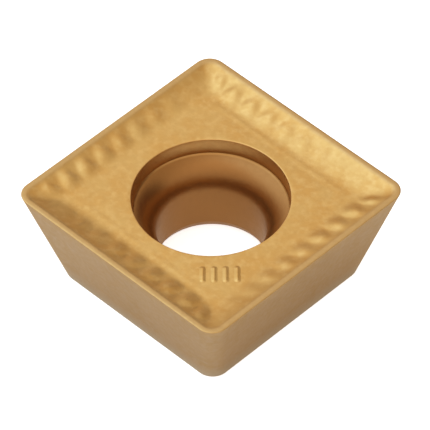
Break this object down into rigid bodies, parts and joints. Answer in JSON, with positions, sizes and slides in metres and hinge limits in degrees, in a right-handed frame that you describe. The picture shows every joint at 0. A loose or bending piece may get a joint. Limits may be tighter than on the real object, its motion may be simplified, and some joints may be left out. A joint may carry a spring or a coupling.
{
  "type": "carbide insert",
  "caption": "Square indexable cutting insert with positive flanks, a bumped chip-breaking groove and a screw hole with a rounded seat.",
  "frame": {"origin": "centre of the flat bottom face, on the axis of the screw hole", "axes": "+Z along the screw hole, out of the cutting face; +X and +Y square to two neighbouring cutting edges"},
  "size_m": [0.0126, 0.0126, 0.0051],
  "materials": {
    "coated_carbide": "satin gold nitride coating on sintered cemented carbide, greyer on the ground flanks"
  },
  "bodies": {
    "root": {"insert": "coated_carbide"}
  },
  "joints": []
}
